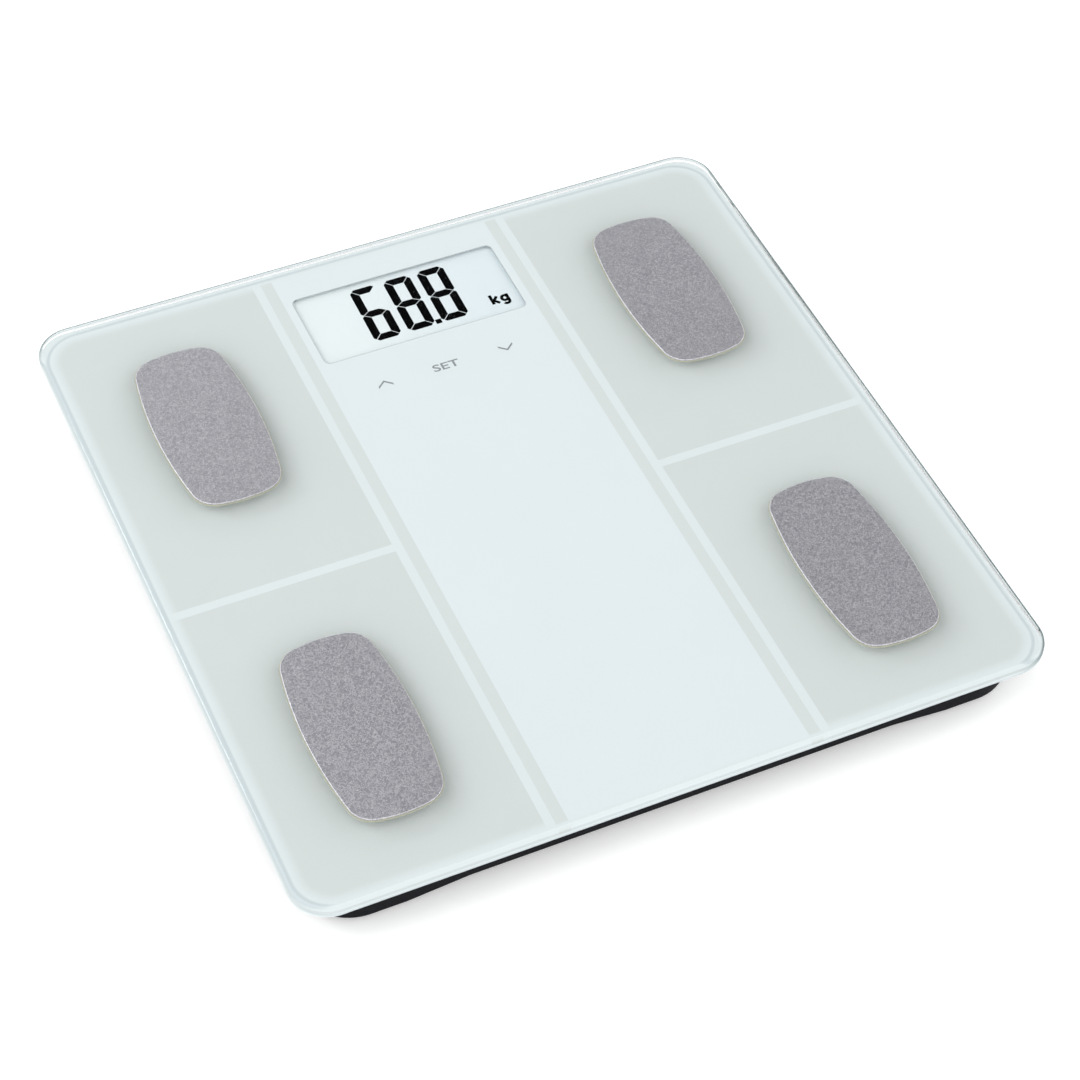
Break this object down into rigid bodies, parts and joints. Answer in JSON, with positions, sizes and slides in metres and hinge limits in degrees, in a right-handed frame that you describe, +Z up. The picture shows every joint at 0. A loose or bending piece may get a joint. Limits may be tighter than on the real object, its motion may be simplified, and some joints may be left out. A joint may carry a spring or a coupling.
{
  "type": "digital bathroom scale",
  "caption": "Square glass bathroom scale with a lit display, touch keys and steel body-fat electrodes, standing on load-cell feet.",
  "frame": {"origin": "on the floor under the middle of the glass, the feet standing on z = 0", "axes": "+Z up through the glass, +Y towards the display end, +X to the right of a person reading the display"},
  "size_m": [0.3, 0.305, 0.026],
  "materials": {
    "glass": "polished toughened glass, faint green edge",
    "print_film": "pale grey-green print behind glass",
    "electrode": "fine bead-blasted stainless steel",
    "gasket": "translucent adhesive gasket",
    "fixings": "plain plated steel",
    "tray": "fine-textured charcoal moulding",
    "tape": "foam tape",
    "cell_steel": "zinc-plated stamping",
    "gauge": "white potting",
    "seat": "moulded plastic",
    "foot_plastic": "moulded plastic",
    "foot_rubber": "soft rubber",
    "lcd": "liquid-crystal panel, lit from behind",
    "white_plastic": "white moulded plastic",
    "diffuser": "milky light guide",
    "zebra": "conductive elastomer",
    "board": "green solder mask",
    "chips": "black epoxy",
    "socket": "cream nylon",
    "contact": "plated spring brass",
    "key_foam": "conductive foam",
    "switch": "black switch body",
    "button": "grey moulded plastic",
    "coin": "stainless can",
    "cell_lead": "grey insulation",
    "electrode_lead": "red insulation",
    "battery_lead": "black insulation"
  },
  "bodies": {
    "platform": {"glass_platform": "glass", "back_print": "print_film", "electrode_studs": "fixings", "electrode_tags": "contact", "electrode_nuts": "fixings", "base_tray": "tray", "bonding_tape": "tape", "strain_gauges": "gauge", "seat_screws": "fixings", "lcd_panel": "lcd", "backlight": "diffuser", "zebra_strips": "zebra", "lcd_frame": "white_plastic", "main_board": "board", "board_chips": "chips", "key_contacts": "key_foam", "unit_switch": "switch", "board_screws": "fixings", "coin_cell_left": "coin", "coin_cell_right": "coin", "negative_contacts": "contact", "positive_contacts": "contact", "load_cell_leads": "cell_lead", "electrode_leads": "electrode_lead", "battery_leads": "battery_lead", "lead_sockets": "socket", "gasket_back_left": "gasket", "electrode_back_left": "electrode", "load_cell_back_left": "cell_steel", "cell_seat_back_left": "seat", "gasket_back_right": "gasket", "electrode_back_right": "electrode", "load_cell_back_right": "cell_steel", "cell_seat_back_right": "seat", "gasket_front_left": "gasket", "electrode_front_left": "electrode", "load_cell_front_left": "cell_steel", "cell_seat_front_left": "seat", "gasket_front_right": "gasket", "electrode_front_right": "electrode", "load_cell_front_right": "cell_steel", "cell_seat_front_right": "seat"},
    "foot_back_left": {"foot_cup_back_left": "foot_plastic", "foot_pad_back_left": "foot_rubber"},
    "foot_back_right": {"foot_cup_back_right": "foot_plastic", "foot_pad_back_right": "foot_rubber"},
    "foot_front_left": {"foot_cup_front_left": "foot_plastic", "foot_pad_front_left": "foot_rubber"},
    "foot_front_right": {"foot_cup_front_right": "foot_plastic", "foot_pad_front_right": "foot_rubber"},
    "unit_button": {"unit_button": "button"},
    "battery_door": {"battery_door": "tray"}
  },
  "joints": [
    {"name": "foot_slide_back_left", "type": "slide", "parent": "platform", "child": "foot_back_left", "axis": [0, 0, 1], "range_m": [0, 0.0008], "stiffness_N_per_m": 2500, "springref_m": -0.003},
    {"name": "foot_slide_back_right", "type": "slide", "parent": "platform", "child": "foot_back_right", "axis": [0, 0, 1], "range_m": [0, 0.0008], "stiffness_N_per_m": 2500, "springref_m": -0.003},
    {"name": "foot_slide_front_left", "type": "slide", "parent": "platform", "child": "foot_front_left", "axis": [0, 0, 1], "range_m": [0, 0.0008], "stiffness_N_per_m": 2500, "springref_m": -0.003},
    {"name": "foot_slide_front_right", "type": "slide", "parent": "platform", "child": "foot_front_right", "axis": [0, 0, 1], "range_m": [0, 0.0008], "stiffness_N_per_m": 2500, "springref_m": -0.003},
    {"name": "unit_button_press", "type": "slide", "parent": "platform", "child": "unit_button", "axis": [0, 0, 1], "range_m": [0, 0.0006], "stiffness_N_per_m": 100, "springref_m": -0.0001},
    {"name": "battery_door_hinge", "type": "hinge", "parent": "platform", "child": "battery_door", "pos_m": [0, 0.0149, 0.0069], "axis": [-1, 0, 0], "range_deg": [0, 80]}
  ]
}
